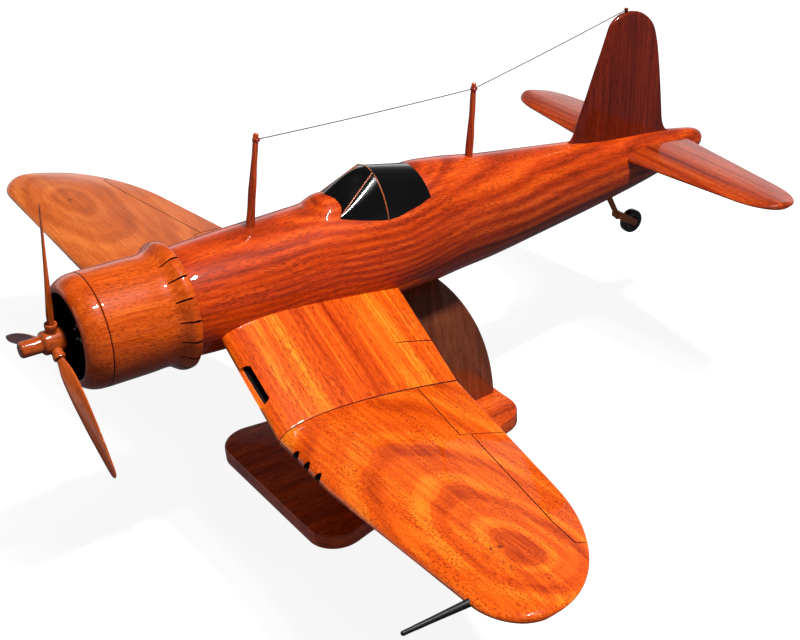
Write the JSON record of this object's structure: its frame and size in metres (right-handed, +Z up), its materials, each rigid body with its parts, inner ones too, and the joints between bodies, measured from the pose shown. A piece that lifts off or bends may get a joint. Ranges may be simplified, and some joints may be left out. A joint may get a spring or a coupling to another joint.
{
  "type": "propeller plane model",
  "caption": "Lacquered wooden desk model of an inverted gull-wing propeller fighter on a stand, with a propeller and a tail wheel that turn, and an airframe that lifts off its pegs.",
  "frame": {"origin": "centre of the stand base's flat underside", "axes": "+Z up, nose towards -Y, port wing towards +X; the airframe sits nose up by 4.5 degrees"},
  "size_m": [0.496, 0.4131, 0.209],
  "materials": {
    "fuselage_wood": "gloss lacquer over red mahogany with long wavy dark grain",
    "cowling_wood": "gloss lacquer over mahogany with fine pore flecks",
    "inner_wing_wood": "gloss lacquer over bright orange mahogany with fine streaks",
    "outer_wing_wood": "gloss lacquer over orange-red mahogany with oval figure",
    "tail_wood": "gloss lacquer over orange-red mahogany",
    "fin_wood": "gloss lacquer over dark red-brown mahogany",
    "propeller_wood": "gloss lacquer over turned mahogany",
    "mast_wood": "gloss lacquer over mahogany",
    "stand_wood": "gloss lacquer over dark mahogany",
    "black_lacquer": "high gloss black lacquer over wood",
    "engine_black": "satin black paint over wood",
    "tyre_black": "gloss black",
    "brass": "polished, lacquered",
    "steel": "bright",
    "thread": "thin waxed thread",
    "inlay": "thin copper-coloured wood veneer strip"
  },
  "bodies": {
    "stand": {"stand_base": "stand_wood", "stand_upright": "stand_wood", "stand_screws": "steel", "stand_pegs": "brass"},
    "airframe": {"fuselage": "fuselage_wood", "cowl_nose_ring": "cowling_wood", "cowling": "cowling_wood", "cowl_flap_ring": "cowling_wood", "engine_plate": "engine_black", "engine_cylinders": "engine_black", "gearbox_dome": "engine_black", "shaft_bush": "brass", "windscreen": "black_lacquer", "canopy_hood": "black_lacquer", "canopy_hoop": "inlay", "windscreen_pillars": "inlay", "wing_inner_port": "inner_wing_wood", "wing_inner_starboard": "inner_wing_wood", "wing_outer_port": "outer_wing_wood", "wing_outer_starboard": "outer_wing_wood", "wing_root_dowels": "mast_wood", "wing_fold_dowels": "mast_wood", "intake_insert_port": "engine_black", "intake_insert_starboard": "engine_black", "gun_port_plugs_port": "engine_black", "gun_port_plugs_starboard": "engine_black", "pitot_tube": "black_lacquer", "fin": "fin_wood", "stabilizer_port": "tail_wood", "stabilizer_starboard": "tail_wood", "fin_dowels": "mast_wood", "stabilizer_dowels": "mast_wood", "fin_pin": "fin_wood", "mast_front": "mast_wood", "mast_rear": "mast_wood", "mast_beads": "fin_wood", "antenna_thread": "thread", "tail_strut": "brass", "tail_fork": "brass", "tail_axle": "steel"},
    "propeller": {"propeller_hub": "propeller_wood", "propeller_blade_1": "propeller_wood", "propeller_blade_2": "propeller_wood", "propeller_blade_3": "propeller_wood", "blade_ferrules": "propeller_wood", "propeller_shaft": "steel", "shaft_collar": "brass"},
    "tail_wheel": {"tail_tyre": "tyre_black", "tail_wheel_hub": "fin_wood"}
  },
  "joints": [
    {"name": "lift_off", "type": "slide", "parent": "stand", "child": "airframe", "axis": [0, 0, 1], "range_m": [0, 0.04]},
    {"name": "propeller_spin", "type": "hinge", "parent": "airframe", "child": "propeller", "pos_m": [0, -0.1675, 0.139], "axis": [0, 0.9969, -0.0785], "continuous": true},
    {"name": "tail_wheel_spin", "type": "hinge", "parent": "airframe", "child": "tail_wheel", "pos_m": [0, 0.17771, 0.07712], "axis": [1, 0, 0], "continuous": true}
  ]
}
